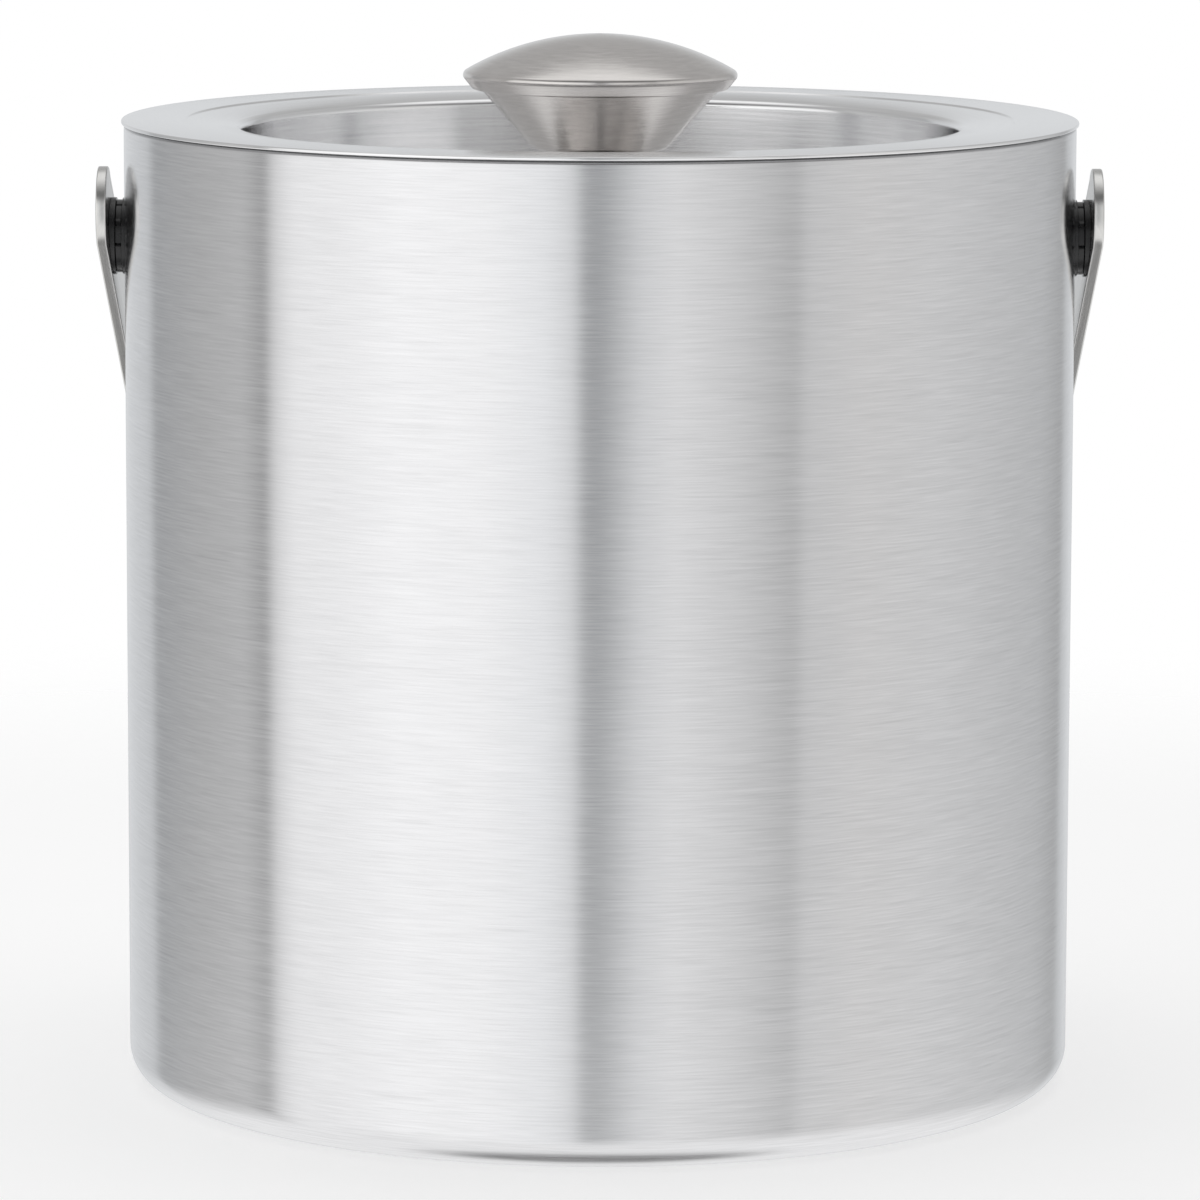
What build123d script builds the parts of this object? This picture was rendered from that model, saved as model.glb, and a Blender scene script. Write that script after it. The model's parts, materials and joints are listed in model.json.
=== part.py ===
"""Double-walled ice bucket with a lift-off lid, a pressed knob and a swinging strap bail.

Millimetres. +Z is up, +Y is the back, where the bail hangs at rest, and +X is the right-hand pivot.
The origin is the centre of the base, on the plane that the bucket stands on.
"""

from build123d import *
from math import cos, hypot, radians, sin, sqrt, tan
import os

os.makedirs("parts", exist_ok=True)

# ------------------------------------------------------------------ bucket, double wall
body_radius = 75.0  # outside of the outer shell
rim_height = 152.4  # top of the shell's in-turned rim flange
shell_sheet = 0.6
base_corner_radius = 5.4  # outside bend between wall and base
rim_corner_radius = 0.8  # outside bend between wall and rim flange
rim_flange_width = 3.1
base_panel_radius = 58.0  # the middle of the base is pressed up, so it stands on its edge
base_panel_rise = 1.0
base_panel_slope = 4.0  # width of the ring that slopes up to the panel
base_panel_bend = 3.0

liner_sheet = 0.6
wall_gap = 4.8  # air between the two walls
floor_gap = 6.4  # air under the liner's floor
liner_corner_radius = 9.0
liner_mouth_bend = 1.4
liner_flange_inset = 1.0  # the liner's flange stops this far short of the shell's outside

# ------------------------------------------------------------------ lid
lid_sheet = 0.55
lid_overhang = 0.4  # the lid stands out past the shell
lid_edge_round = 0.2
lid_ring_width = 10.2  # flat ring round the lid
shoulder_width = 8.7  # gentle shoulder between the ring and the well
shoulder_drop = 1.1
shoulder_bend = 1.3
well_depth = 12.0  # from the ring down to the well's floor
well_corner_radius = 2.2
lid_liner_sheet = 0.5
lid_liner_corner_radius = 4.0
lid_liner_bend = 1.0
skirt_clearance = 0.6  # the skirt of the lid's lower pan slides in the liner's mouth
flange_clearance = 0.4  # the lower pan's flange drops inside the shell's flange

# ------------------------------------------------------------------ knob
knob_height = 18.3  # from the knob's flat foot to the top of its dome
knob_foot_radius = 10.4  # where the cone would meet the foot, before its bend
knob_foot_bend = 2.6
cone_height = 9.65  # from the foot to the underside of the cap's lip
cone_top_radius = 18.85  # at the underside of the cap's lip
cone_sheet = 0.6
cone_flange_bend = 0.3
cap_sheet = 0.5
cap_corner_radius = 22.1  # where dome and skirt would meet, before the edge is rounded
cap_edge_round = 0.9
cap_dome_radius = 42.5
cap_lip_radius = 20.1  # outside of the lip
cap_lip_bend = 0.75
lip_to_cone = 0.12
cone_flange_to_cap = 0.15
knob_collar_radius = 7.0
knob_rise = 7.05  # the collar holds the knob's foot this far above the well's floor

# ------------------------------------------------------------------ knob fastening, M4
thread_radius = 2.0
thread_clearance = 0.03  # between a screw's thread and a nut's thread
screw_hole_clearance = 0.2
nut_across_flats = 7.0
nut_height = 3.2
nut_chamfer = 0.35
washer_radius = 6.0
washer_sheet = 0.8
screw_head_radius = 4.0
screw_head_height = 2.4
screw_head_round = 1.2
hex_socket_across_flats = 2.5
hex_socket_depth = 1.3
screw_end_past_nut = 0.9
head_to_lid_liner = 0.9

# ------------------------------------------------------------------ bail
strap_width = 14.0
strap_sheet = 1.6
strap_edge_round = 0.25
bail_lean = 46.0  # degrees from straight down, when it rests against the back
bail_rest_gap = 0.3
arm_toe_in = 3.7  # degrees that each arm leans towards the other
pad_offset = 6.3  # centre of the strap's round end, past the pivot
arm_bend_radius = 3.0
arm_to_lid = 0.3  # the arms clear the lid's edge as they swing over it

# ------------------------------------------------------------------ pivots
pivot_drop = 18.2  # below the rim
shoulder_radius = 3.0  # turned shoulder of the pivot screw
shoulder_fit = 0.05  # radial running clearance on the shoulder
end_float = 0.05  # axial running clearance, each side of strap and washer
taper_washer_radius = 6.1
taper_washer_least = 0.15
head_radius = 4.0
head_seat_clearance = 0.3  # between the head and the recess that it lies in
head_thickness = 0.55
head_dome = 0.3
strap_under_head = 0.8
spacer_radius = 5.75
spacer_flange_radius = 6.05
spacer_flange_thickness = 0.35
spacer_grooves = 10
groove_width = 0.3
groove_depth = 0.3
notch_width = 0.9
first_groove_angle = 27.0  # degrees above level, on the front: the wide notch is here
seat_gap = 0.02  # between curved seats that are clamped together
nut_plate_width = 16.0
nut_plate_height = 20.0
nut_plate_corner = 3.0
nut_plate_sheet = 2.2
nut_boss_radius = 4.2
nut_boss_to_liner = 0.8
pivot_socket_across_flats = 3.0
pivot_socket_depth = 1.2

cut_margin = 1.0  # a cutting solid runs this far past what it cuts

# ------------------------------------------------------------------ worked out
shell_inner = body_radius - shell_sheet
liner_outer = shell_inner - wall_gap
liner_inner = liner_outer - liner_sheet
flange_underside = rim_height - shell_sheet
shell_flange_inner = body_radius - rim_flange_width
liner_floor = shell_sheet + base_panel_rise + floor_gap

lid_radius = body_radius + lid_overhang
lid_top = rim_height + lid_sheet
ring_inner = lid_radius - lid_ring_width
well_radius = ring_inner - shoulder_width
well_floor = lid_top - well_depth
well_underside = well_floor - lid_sheet
skirt_radius = liner_inner - skirt_clearance
lid_liner_flange = shell_flange_inner - flange_clearance
washer_bottom = well_underside - washer_sheet
head_bottom = washer_bottom - screw_head_height
lid_liner_bottom = head_bottom - head_to_lid_liner - lid_liner_sheet

knob_foot = well_floor + knob_rise
knob_lip = knob_foot + cone_height
knob_top = knob_foot + knob_height
dome_centre = knob_top - cap_dome_radius
cap_corner = dome_centre + sqrt(cap_dome_radius**2 - cap_corner_radius**2)
cap_slope = (cap_corner_radius - cap_lip_radius) / (cap_corner - knob_lip)
screw_hole = thread_radius + screw_hole_clearance
cone_slope = (cone_top_radius - knob_foot_radius) / cone_height
lip_top = knob_lip + cap_sheet
cone_at_lip_top = cone_top_radius + cone_slope * cap_sheet
cap_inside_at_flange = cap_lip_radius + cap_slope * cap_sheet - cap_sheet * hypot(1, cap_slope)
cone_flange_radius = cap_inside_at_flange - cone_flange_to_cap
nut_seat = knob_foot + cone_sheet
screw_tip = nut_seat + nut_height + screw_end_past_nut

pivot_z = rim_height - pivot_drop
lean = radians(bail_lean)
toe_in = radians(arm_toe_in)
half_width = strap_width / 2
bail_rise = (body_radius + bail_rest_gap + half_width * cos(lean)) / sin(lean)
bend_to_lid = pivot_drop + lid_sheet + pad_offset
pad_inner = lid_radius + arm_to_lid + bend_to_lid * tan(toe_in)
strap_inner_at_pivot = pad_inner - pad_offset * tan(toe_in)
arm_line = strap_inner_at_pivot * cos(toe_in)  # from the pivots' middle, square to an arm
arch_radius = (arm_line - bail_rise * sin(toe_in)) / (1 - sin(toe_in))
arch_centre = bail_rise - arch_radius

washer_reach = (pad_offset + taper_washer_radius) * tan(toe_in)
washer_seat = pad_inner - washer_reach - taper_washer_least
spacer_face = washer_seat - end_float
head_seat = strap_inner_at_pivot + strap_under_head
head_under = head_seat + end_float
head_face = head_under + head_thickness
nut_boss_end = liner_outer + nut_boss_to_liner
wall_at_spacer = sqrt(body_radius**2 - spacer_flange_radius**2)

# the bail's plane at rest: x across the bucket, y along the arms, z across the strap
bail_plane = Plane(origin=(0, 0, pivot_z), x_dir=(1, 0, 0), z_dir=(0, cos(lean), sin(lean)))
# seen along the pivots: x along the arms, y across the strap
strap_side_plane = Plane(origin=(0, 0, pivot_z), x_dir=(0, sin(lean), -cos(lean)), z_dir=(1, 0, 0))


def pivot_plane(side, distance):
    """Plane square to the pivots, facing outwards, this far from the middle; side is -1 or 1."""
    return Plane(origin=(side * distance, 0, pivot_z), x_dir=(0, 1, 0), z_dir=(side, 0, 0))


# ------------------------------------------------------------------ outer shell
with BuildPart() as outer_shell:
    with BuildSketch(Plane.XZ):
        with BuildLine():
            FilletPolyline(
                (0, base_panel_rise),
                (base_panel_radius, base_panel_rise),
                (base_panel_radius + base_panel_slope, 0),
                (body_radius, 0),
                (body_radius, rim_height),
                (shell_flange_inner, rim_height),
                radius=[base_panel_bend, base_panel_bend, base_corner_radius, rim_corner_radius],
            )
            offset(amount=shell_sheet, side=Side.LEFT)
        make_face()
    revolve(axis=Axis.Z)
    with BuildSketch(pivot_plane(-1, 0)):
        Circle(screw_hole)
    extrude(amount=body_radius + cut_margin, both=True, mode=Mode.SUBTRACT)
outer_shell.part.label = "outer_shell"
export_step(outer_shell.part, "parts/outer_shell.step")

# ------------------------------------------------------------------ inner liner
with BuildPart() as inner_liner:
    with BuildSketch(Plane.XZ):
        with BuildLine():
            FilletPolyline(
                (0, liner_floor),
                (liner_inner, liner_floor),
                (liner_inner, flange_underside),
                (body_radius - liner_flange_inset, flange_underside),
                radius=[liner_corner_radius, liner_mouth_bend],
            )
            offset(amount=liner_sheet, side=Side.RIGHT)
        make_face()
    revolve(axis=Axis.Z)
inner_liner.part.label = "inner_liner"
export_step(inner_liner.part, "parts/inner_liner.step")

# ------------------------------------------------------------------ lid, upper pan
with BuildPart() as lid_pan:
    with BuildSketch(Plane.XZ):
        with BuildLine() as pan_line:
            shoulder_foot = (well_radius, lid_top - shoulder_drop)
            Line((screw_hole, well_floor), (well_radius, well_floor))
            Line((well_radius, well_floor), shoulder_foot)
            TangentArc((ring_inner, lid_top), shoulder_foot, tangent=(-1, 0))
            Line((ring_inner, lid_top), (lid_radius, lid_top))
            fillet(pan_line.vertices().sort_by_distance((well_radius, well_floor))[0], well_corner_radius)
            fillet(pan_line.vertices().sort_by_distance(shoulder_foot)[0], shoulder_bend)
            offset(amount=lid_sheet, side=Side.RIGHT)
        make_face()
    revolve(axis=Axis.Z)
    rim_edges = lid_pan.edges().filter_by(GeomType.CIRCLE).group_by(SortBy.RADIUS)[-1]
    fillet(rim_edges, lid_edge_round)
lid_pan.part.label = "lid_pan"
export_step(lid_pan.part, "parts/lid_pan.step")

# ------------------------------------------------------------------ lid, lower pan
with BuildPart() as lid_liner:
    with BuildSketch(Plane.XZ):
        with BuildLine():
            FilletPolyline(
                (0, lid_liner_bottom),
                (skirt_radius, lid_liner_bottom),
                (skirt_radius, rim_height - lid_liner_sheet),
                (lid_liner_flange, rim_height - lid_liner_sheet),
                radius=[lid_liner_corner_radius, lid_liner_bend - lid_liner_sheet],
            )
            offset(amount=lid_liner_sheet, side=Side.LEFT)
        make_face()
    revolve(axis=Axis.Z)
lid_liner.part.label = "lid_liner"
export_step(lid_liner.part, "parts/lid_liner.step")

# ------------------------------------------------------------------ knob
with BuildPart() as knob_collar:
    with BuildSketch(Plane.XY.offset(well_floor)):
        Circle(knob_collar_radius)
        Circle(screw_hole, mode=Mode.SUBTRACT)
    extrude(amount=knob_rise)
knob_collar.part.label = "knob_collar"
export_step(knob_collar.part, "parts/knob_collar.step")

with BuildPart() as knob_cone:
    with BuildSketch(Plane.XZ):
        with BuildLine():
            FilletPolyline(
                (screw_hole, knob_foot),
                (knob_foot_radius, knob_foot),
                (cone_at_lip_top, lip_top),
                (cone_flange_radius, lip_top),
                radius=[knob_foot_bend, cone_flange_bend],
            )
            offset(amount=cone_sheet, side=Side.LEFT)
        make_face()
    revolve(axis=Axis.Z)
knob_cone.part.label = "knob_cone"
export_step(knob_cone.part, "parts/knob_cone.step")


with BuildPart() as knob_cap:
    with BuildSketch(Plane.XZ):
        with BuildLine() as cap_line:
            half_way = cap_corner_radius / 2
            dome_middle = (half_way, dome_centre + sqrt(cap_dome_radius**2 - half_way**2))
            ThreePointArc((0, knob_top), dome_middle, (cap_corner_radius, cap_corner))
            Line((cap_corner_radius, cap_corner), (cap_lip_radius, knob_lip))
            Line((cap_lip_radius, knob_lip), (cone_at_lip_top + lip_to_cone, knob_lip))
            edge_corner = cap_line.vertices().sort_by_distance((cap_corner_radius, cap_corner))[0]
            fillet(edge_corner, cap_edge_round)
            lip_corner = cap_line.vertices().sort_by_distance((cap_lip_radius, knob_lip))[0]
            fillet(lip_corner, cap_lip_bend)
            offset(amount=cap_sheet, side=Side.RIGHT)
        make_face()
    revolve(axis=Axis.Z)
knob_cap.part.label = "knob_cap"
export_step(knob_cap.part, "parts/knob_cap.step")

# ------------------------------------------------------------------ knob fastening
with BuildPart() as knob_nut:
    with BuildSketch(Plane.XY.offset(nut_seat)):
        RegularPolygon(nut_across_flats / 2, 6, major_radius=False)
    extrude(amount=nut_height)
    with BuildSketch(Plane.XY.offset(nut_seat)):
        Circle(nut_across_flats / 2 + nut_chamfer)
    extrude(amount=nut_height, mode=Mode.INTERSECT)
    with BuildSketch(Plane.XY.offset(nut_seat)):
        Circle(thread_radius + thread_clearance)
    extrude(amount=nut_height, mode=Mode.SUBTRACT)
knob_nut.part.label = "knob_nut"
export_step(knob_nut.part, "parts/knob_nut.step")

with BuildPart() as knob_washer:
    with BuildSketch(Plane.XY.offset(washer_bottom)):
        Circle(washer_radius)
        Circle(screw_hole, mode=Mode.SUBTRACT)
    extrude(amount=washer_sheet)
knob_washer.part.label = "knob_washer"
export_step(knob_washer.part, "parts/knob_washer.step")

with BuildPart() as knob_screw:
    with BuildSketch(Plane.XY.offset(head_bottom)):
        Circle(screw_head_radius)
    extrude(amount=screw_head_height)
    fillet(knob_screw.edges().group_by(Axis.Z)[0], screw_head_round)
    with BuildSketch(Plane.XY.offset(head_bottom)):
        RegularPolygon(hex_socket_across_flats / 2, 6, major_radius=False)
    extrude(amount=hex_socket_depth, mode=Mode.SUBTRACT)
    with BuildSketch(Plane.XY.offset(washer_bottom)):
        Circle(thread_radius)
    extrude(amount=screw_tip - washer_bottom)
knob_screw.part.label = "knob_screw"
export_step(knob_screw.part, "parts/knob_screw.step")

# ------------------------------------------------------------------ bail
with BuildPart() as bail_handle:
    strap_end = -pad_offset - half_width
    arm_top = (arch_radius * cos(toe_in), arch_centre + arch_radius * sin(toe_in))
    with BuildSketch(bail_plane):
        with BuildLine():
            FilletPolyline(
                (pad_inner, strap_end), (pad_inner, -pad_offset), arm_top, radius=arm_bend_radius
            )
            ThreePointArc(arm_top, (0, bail_rise), (-arm_top[0], arm_top[1]))
            FilletPolyline(
                (-arm_top[0], arm_top[1]),
                (-pad_inner, -pad_offset),
                (-pad_inner, strap_end),
                radius=arm_bend_radius,
            )
            offset(amount=strap_sheet, side=Side.RIGHT)
        make_face()
    extrude(amount=half_width, both=True)
    with BuildSketch(strap_side_plane):
        with Locations((-pad_offset, 0)):
            Circle(half_width)
            Rectangle(2 * bail_rise, strap_width, align=(Align.MIN, Align.CENTER))
    extrude(amount=2 * body_radius, both=True, mode=Mode.INTERSECT)
    long_edges = bail_handle.edges().filter_by(lambda edge: edge.length > 2 * strap_sheet)
    fillet(long_edges, strap_edge_round)
    with BuildSketch(strap_side_plane):
        Circle(shoulder_radius + shoulder_fit)
    extrude(amount=2 * body_radius, both=True, mode=Mode.SUBTRACT)
    for side in (-1, 1):
        with BuildSketch(pivot_plane(side, head_seat)):
            Circle(head_radius + head_seat_clearance)
        extrude(amount=2 * strap_sheet, mode=Mode.SUBTRACT)
bail_handle.part.label = "bail_handle"
export_step(bail_handle.part, "parts/bail_handle.step")

# ------------------------------------------------------------------ pivots, a set on each side
pivot_axis = Axis((0, 0, pivot_z), (1, 0, 0))
notch_angle = 180 - first_groove_angle  # measured from the back, over the top

for side, hand in ((-1, "left"), (1, "right")):
    with BuildPart() as taper_washer:
        with BuildSketch(pivot_plane(side, washer_seat)):
            Circle(taper_washer_radius)
            Circle(shoulder_radius + shoulder_fit, mode=Mode.SUBTRACT)
        extrude(amount=pad_inner - washer_seat)
        with BuildSketch(bail_plane):
            with BuildLine():
                reach = taper_washer_radius + cut_margin
                taper = reach * tan(toe_in)
                Polyline(
                    (side * (strap_inner_at_pivot + taper), -reach),
                    (side * (strap_inner_at_pivot - taper), reach),
                    (side * 2 * pad_inner, reach),
                    (side * 2 * pad_inner, -reach),
                    close=True,
                )
            make_face()
        extrude(amount=reach, both=True, mode=Mode.SUBTRACT)
    taper_washer.part.label = f"taper_washer_{hand}"
    export_step(taper_washer.part, f"parts/taper_washer_{hand}.step")

    with BuildPart() as spacer:
        with BuildSketch(pivot_plane(side, wall_at_spacer)):
            Circle(spacer_radius)
        extrude(amount=spacer_face - wall_at_spacer)
        with BuildSketch(pivot_plane(side, wall_at_spacer)):
            with PolarLocations(spacer_radius, spacer_grooves, side * notch_angle):
                Rectangle(2 * groove_depth, groove_width)
            with PolarLocations(spacer_radius, 1, side * notch_angle):
                Rectangle(2 * groove_depth, notch_width)
        extrude(amount=spacer_face - wall_at_spacer, mode=Mode.SUBTRACT)
        with BuildSketch(pivot_plane(side, wall_at_spacer)):
            Circle(spacer_flange_radius)
        extrude(amount=body_radius + spacer_flange_thickness - wall_at_spacer)
        with BuildSketch(pivot_plane(side, wall_at_spacer)):
            Circle(screw_hole)
        extrude(amount=spacer_face - wall_at_spacer, mode=Mode.SUBTRACT)
        with BuildSketch(Plane.XY.offset(pivot_z)):
            Circle(body_radius + seat_gap)
        extrude(amount=2 * spacer_radius, both=True, mode=Mode.SUBTRACT)
    spacer.part.label = f"pivot_spacer_{hand}"
    export_step(spacer.part, f"parts/pivot_spacer_{hand}.step")

    with BuildPart() as pivot_screw:
        with BuildSketch(Plane(origin=(0, 0, pivot_z), x_dir=(side, 0, 0), z_dir=(0, -1, 0))):
            with BuildLine():
                Polyline(
                    (head_face + head_dome, 0),
                    (nut_boss_end, 0),
                    (nut_boss_end, thread_radius),
                    (spacer_face, thread_radius),
                    (spacer_face, shoulder_radius),
                    (head_under, shoulder_radius),
                    (head_under, head_radius),
                    (head_face, head_radius),
                )
                TangentArc(
                    (head_face + head_dome, 0), (head_face, head_radius), tangent=(0, 1)
                )
            make_face()
        revolve(axis=pivot_axis)
        with BuildSketch(pivot_plane(side, head_face + head_dome)):
            RegularPolygon(pivot_socket_across_flats / 2, 6, major_radius=False)
        extrude(amount=-pivot_socket_depth, mode=Mode.SUBTRACT)
    pivot_screw.part.label = f"pivot_screw_{hand}"
    export_step(pivot_screw.part, f"parts/pivot_screw_{hand}.step")

    with BuildPart() as nut_plate:
        with BuildSketch(pivot_plane(side, nut_boss_end)):
            RectangleRounded(nut_plate_width, nut_plate_height, nut_plate_corner)
        extrude(amount=wall_gap)
        with BuildSketch(Plane.XY.offset(pivot_z)):
            Circle(shell_inner - seat_gap)
            Circle(shell_inner - seat_gap - nut_plate_sheet, mode=Mode.SUBTRACT)
        extrude(amount=nut_plate_height, both=True, mode=Mode.INTERSECT)
        with BuildSketch(pivot_plane(side, nut_boss_end)):
            Circle(nut_boss_radius)
        extrude(amount=shell_inner - nut_plate_sheet / 2 - nut_boss_end)
        with BuildSketch(pivot_plane(side, nut_boss_end)):
            Circle(thread_radius + thread_clearance)
        extrude(amount=wall_gap, mode=Mode.SUBTRACT)
    nut_plate.part.label = f"nut_plate_{hand}"
    export_step(nut_plate.part, f"parts/nut_plate_{hand}.step")
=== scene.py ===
"""Double-walled ice bucket: the finished surfaces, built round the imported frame.

Metres. +Z is up, +Y is the back, where the bail hangs at rest, and +X is the right-hand pivot.
The sheet-metal pieces are outlines turned on a lathe by one Geometry Nodes tree, and the strap is
a flat blank bent along its path by another, the way a maker spins the pans and bends the handle.
"""

import json
import logging
import math
from dataclasses import dataclass
from enum import Enum

import bmesh
import bpy
from mathutils import Matrix, Vector


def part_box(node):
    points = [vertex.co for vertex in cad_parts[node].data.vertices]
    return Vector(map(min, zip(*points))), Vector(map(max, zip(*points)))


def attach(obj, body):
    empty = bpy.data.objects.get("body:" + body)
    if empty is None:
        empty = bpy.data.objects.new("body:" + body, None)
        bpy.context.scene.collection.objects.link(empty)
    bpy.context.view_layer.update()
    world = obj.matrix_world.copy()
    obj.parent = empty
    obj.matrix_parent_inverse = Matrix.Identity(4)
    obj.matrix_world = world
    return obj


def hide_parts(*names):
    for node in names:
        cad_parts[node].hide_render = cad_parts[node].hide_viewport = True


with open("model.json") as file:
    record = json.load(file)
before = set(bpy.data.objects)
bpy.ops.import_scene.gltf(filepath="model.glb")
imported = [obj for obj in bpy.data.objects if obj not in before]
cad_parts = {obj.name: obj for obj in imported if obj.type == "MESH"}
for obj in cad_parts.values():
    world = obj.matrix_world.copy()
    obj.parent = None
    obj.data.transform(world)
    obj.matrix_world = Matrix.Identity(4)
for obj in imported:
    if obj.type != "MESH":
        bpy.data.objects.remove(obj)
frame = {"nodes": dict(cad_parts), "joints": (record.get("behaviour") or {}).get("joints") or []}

MM = 0.001
FULL_TURN = 2 * math.pi
ARC_STEP = math.radians(9)  # a bend's outline turns at most this much from point to point
SHARP_EDGE = math.radians(32)  # edges that turn more than this stay crisp
MERGE_DISTANCE = 0.002 * MM
SCREW_SEGMENTS = 96
ACROSS_THE_GRAIN = 0.25  # of a turn: a brushed face blurs across its streaks
GROOVE_FLOOR = 0.7  # share of a groove's width that is at full depth
NOISE_LOW, NOISE_HIGH = 0.3, 0.7  # where most of a noise texture's values lie
SENSOR_WIDTH = 36.0  # in millimetres, as the lens is
WHITE = (1.0, 1.0, 1.0, 1.0)

log = logging.getLogger("ice_bucket")


class Side(Enum):
    """The two ends of the pivot axis."""

    LEFT = -1
    RIGHT = 1


class Grain(Enum):
    """The way a brushed finish runs over a piece."""

    ROUND = "round the upright axis"
    LENGTHWAYS = "along the piece's own length"


# ------------------------------------------------------------------ outlines
@dataclass(frozen=True)
class Corner:
    """One corner of a turned outline, as distance from the axis, height and bend radius.

    A hexed corner keeps its distance across the flats of a hexagon, and a grooved one dips where
    the piece has its grooves.
    """

    out: float
    up: float
    bend: float = 0.0
    hexed: float = 0.0
    grooved: float = 0.0


@dataclass(frozen=True)
class Spot:
    """A point of a finished outline, with the way off the surface on the left of travel."""

    place: Vector
    left: Vector
    hexed: float = 0.0
    grooved: float = 0.0


def rounded(corners: list[Corner]) -> list[Spot]:
    """Rounds the corners of an open outline that have a bend.

    Args:
        corners: The outline's corners in order.

    Returns:
        The outline's points, with a corner's bend drawn as an arc.
    """
    places = [Vector((corner.out, corner.up)) for corner in corners]
    spots = []
    for index, corner in enumerate(corners):
        ahead = (places[min(index + 1, len(places) - 1)] - places[index]).normalized()
        behind = (places[index] - places[max(index - 1, 0)]).normalized()
        ahead = ahead if ahead.length else behind
        behind = behind if behind.length else ahead
        turn = math.atan2(behind.cross(ahead), behind.dot(ahead))
        off = Vector((-behind.y, behind.x))
        if not corner.bend:
            across = Matrix.Rotation(turn / 2, 2) @ off / math.cos(turn / 2)
            spots.append(Spot(places[index], across, corner.hexed, corner.grooved))
            continue
        start = places[index] - behind * corner.bend * math.tan(abs(turn) / 2)
        centre = start + off * math.copysign(corner.bend, turn)
        steps = max(2, math.ceil(abs(turn) / ARC_STEP))
        for step in range(steps + 1):
            swing = Matrix.Rotation(turn * step / steps, 2)
            spots.append(Spot(centre + swing @ (start - centre), swing @ off))
    return spots


def arc(centre: Vector, radius: float, start: float, end: float, steps: int) -> list[Corner]:
    """Points of an arc in an outline, from the start angle to just short of the end angle.

    Args:
        centre: The arc's middle, as distance from the axis and height.
        radius: The arc's radius.
        start: The first angle, anticlockwise from straight out.
        end: The last angle, which isn't included.
        steps: How many points.

    Returns:
        Corners without bends.
    """
    angles = [start + (end - start) * step / steps for step in range(steps)]
    return [
        Corner(centre.x + radius * math.cos(angle), centre.y + radius * math.sin(angle))
        for angle in angles
    ]


def sheet_section(corners: list[Corner], thickness: float) -> list[Spot]:
    """The closed section of a sheet that follows an outline.

    Args:
        corners: The outline of one face of the sheet.
        thickness: The sheet's thickness, positive on the left of travel.

    Returns:
        The section's points, ending at the first one again.
    """
    face = rounded(corners)
    back = [Spot(spot.place + spot.left * thickness, spot.left) for spot in reversed(face)]
    return [*face, *back, face[0]]


# ------------------------------------------------------------------ node trees
@dataclass(frozen=True)
class Fade:
    """A change from a first value to a last one between two places, straight or soft."""

    start: float
    end: float
    first: float = 0.0
    last: float = 1.0
    soft: bool = False


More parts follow.
